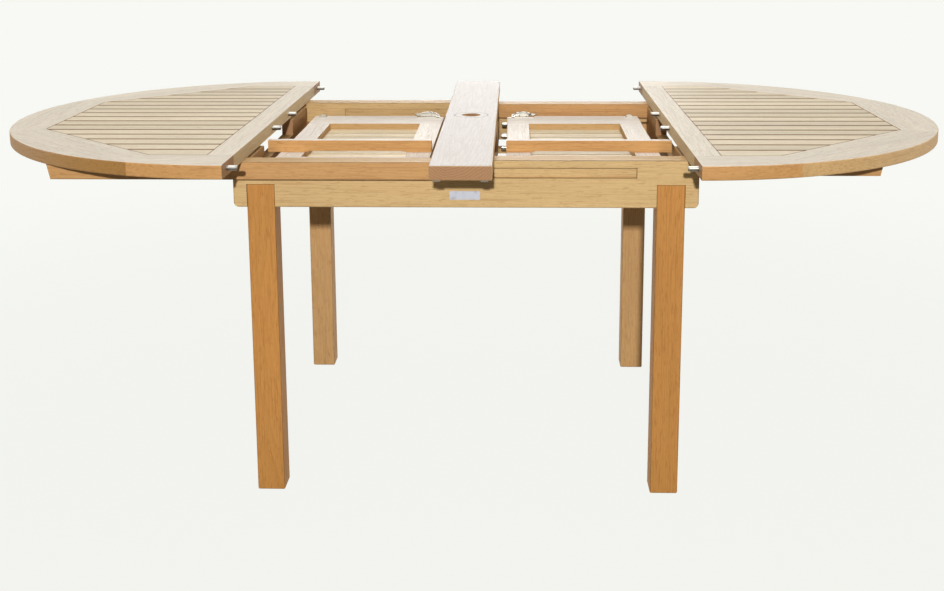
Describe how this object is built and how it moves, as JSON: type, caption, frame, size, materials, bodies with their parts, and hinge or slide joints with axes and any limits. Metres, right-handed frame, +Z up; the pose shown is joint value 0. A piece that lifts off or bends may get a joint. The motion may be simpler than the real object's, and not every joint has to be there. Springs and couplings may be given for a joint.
{
  "type": "extending dining table",
  "caption": "Oval slatted wooden dining table that pulls apart on runners around a fixed centre board with a parasol hole, with folding leaves stored in the wells.",
  "frame": {"origin": "on the floor under the middle of the centre board", "axes": "+X along the table, +Y from front to back, +Z up"},
  "size_m": [2.1, 1.2, 0.75],
  "materials": {
    "top_teak": "sanded pale teak",
    "leaf_teak": "sanded pale teak",
    "frame_teak": "sanded honey teak",
    "runner_teak": "sanded orange teak",
    "steel": "turned steel",
    "bright_metal": "bright plated",
    "plate": "blank satin"
  },
  "bodies": {
    "base": {"back_apron": "frame_teak", "back_left_leg": "frame_teak", "back_right_leg": "frame_teak", "blank_plate": "plate", "board_block": "frame_teak", "board_catches": "bright_metal", "board_screws": "steel", "centre_board": "top_teak", "centre_rails": "frame_teak", "front_apron": "frame_teak", "front_left_leg": "frame_teak", "front_right_leg": "frame_teak", "leaf_bearers": "frame_teak", "left_end_rail": "frame_teak", "leg_bolts": "steel", "parasol_ring": "top_teak", "right_end_rail": "frame_teak"},
    "left_top": {"left_back_runner": "runner_teak", "left_cross_battens": "runner_teak", "left_front_runner": "runner_teak", "left_inner_rail": "top_teak", "left_pins": "steel", "left_rim_corners": "top_teak", "left_rim_end": "top_teak", "left_rim_sides": "top_teak", "left_runner_screws": "steel", "left_slats": "top_teak"},
    "right_top": {"right_back_runner": "runner_teak", "right_cross_battens": "runner_teak", "right_front_runner": "runner_teak", "right_inner_rail": "top_teak", "right_pins": "steel", "right_rim_corners": "top_teak", "right_rim_end": "top_teak", "right_rim_sides": "top_teak", "right_runner_screws": "steel", "right_slats": "top_teak"},
    "left_leaf": {"left_lower_leaf_frame": "leaf_teak", "left_lower_leaf_hinges": "steel", "left_lower_leaf_pins": "steel", "left_lower_leaf_slats": "leaf_teak"},
    "left_leaf_fold": {"left_leaf_batten": "leaf_teak", "left_leaf_fittings": "bright_metal", "left_upper_leaf_frame": "leaf_teak", "left_upper_leaf_hinges": "steel", "left_upper_leaf_pins": "steel", "left_upper_leaf_slats": "leaf_teak"},
    "left_latch": {"left_latch_lever": "bright_metal"},
    "right_leaf": {"right_lower_leaf_frame": "leaf_teak", "right_lower_leaf_hinges": "steel", "right_lower_leaf_pins": "steel", "right_lower_leaf_slats": "leaf_teak"},
    "right_leaf_fold": {"right_leaf_batten": "leaf_teak", "right_leaf_fittings": "bright_metal", "right_upper_leaf_frame": "leaf_teak", "right_upper_leaf_hinges": "steel", "right_upper_leaf_pins": "steel", "right_upper_leaf_slats": "leaf_teak"},
    "right_latch": {"right_latch_lever": "bright_metal"}
  },
  "joints": [
    {"name": "left_slide", "type": "slide", "parent": "base", "child": "left_top", "axis": [1, 0, 0], "range_m": [0, 0.3895]},
    {"name": "right_slide", "type": "slide", "parent": "base", "child": "right_top", "axis": [-1, 0, 0], "range_m": [0, 0.3895]},
    {"name": "left_leaf_lift", "type": "slide", "parent": "base", "child": "left_leaf", "axis": [0, 0, 1], "range_m": [0, 0.3]},
    {"name": "left_leaf_unfold", "type": "hinge", "parent": "left_leaf", "child": "left_leaf_fold", "pos_m": [-0.252, -0.2573, 0.6637], "axis": [1, 0, 0], "range_deg": [0, 180]},
    {"name": "left_latch_flip", "type": "hinge", "parent": "left_leaf_fold", "child": "left_latch", "pos_m": [-0.098, 0.322, 0.6982], "axis": [0, 1, 0], "range_deg": [0, 110]},
    {"name": "right_leaf_lift", "type": "slide", "parent": "base", "child": "right_leaf", "axis": [0, 0, 1], "range_m": [0, 0.3]},
    {"name": "right_leaf_unfold", "type": "hinge", "parent": "right_leaf", "child": "right_leaf_fold", "pos_m": [0.252, -0.2573, 0.6637], "axis": [1, 0, 0], "range_deg": [0, 180]},
    {"name": "right_latch_flip", "type": "hinge", "parent": "right_leaf_fold", "child": "right_latch", "pos_m": [0.098, 0.322, 0.6982], "axis": [0, -1, 0], "range_deg": [0, 110]}
  ],
  "couplings": [
    {"joint": "left_leaf_unfold", "follows": "left_leaf_lift", "rad_per_m": 10.472},
    {"joint": "right_leaf_unfold", "follows": "right_leaf_lift", "rad_per_m": 10.472}
  ]
}
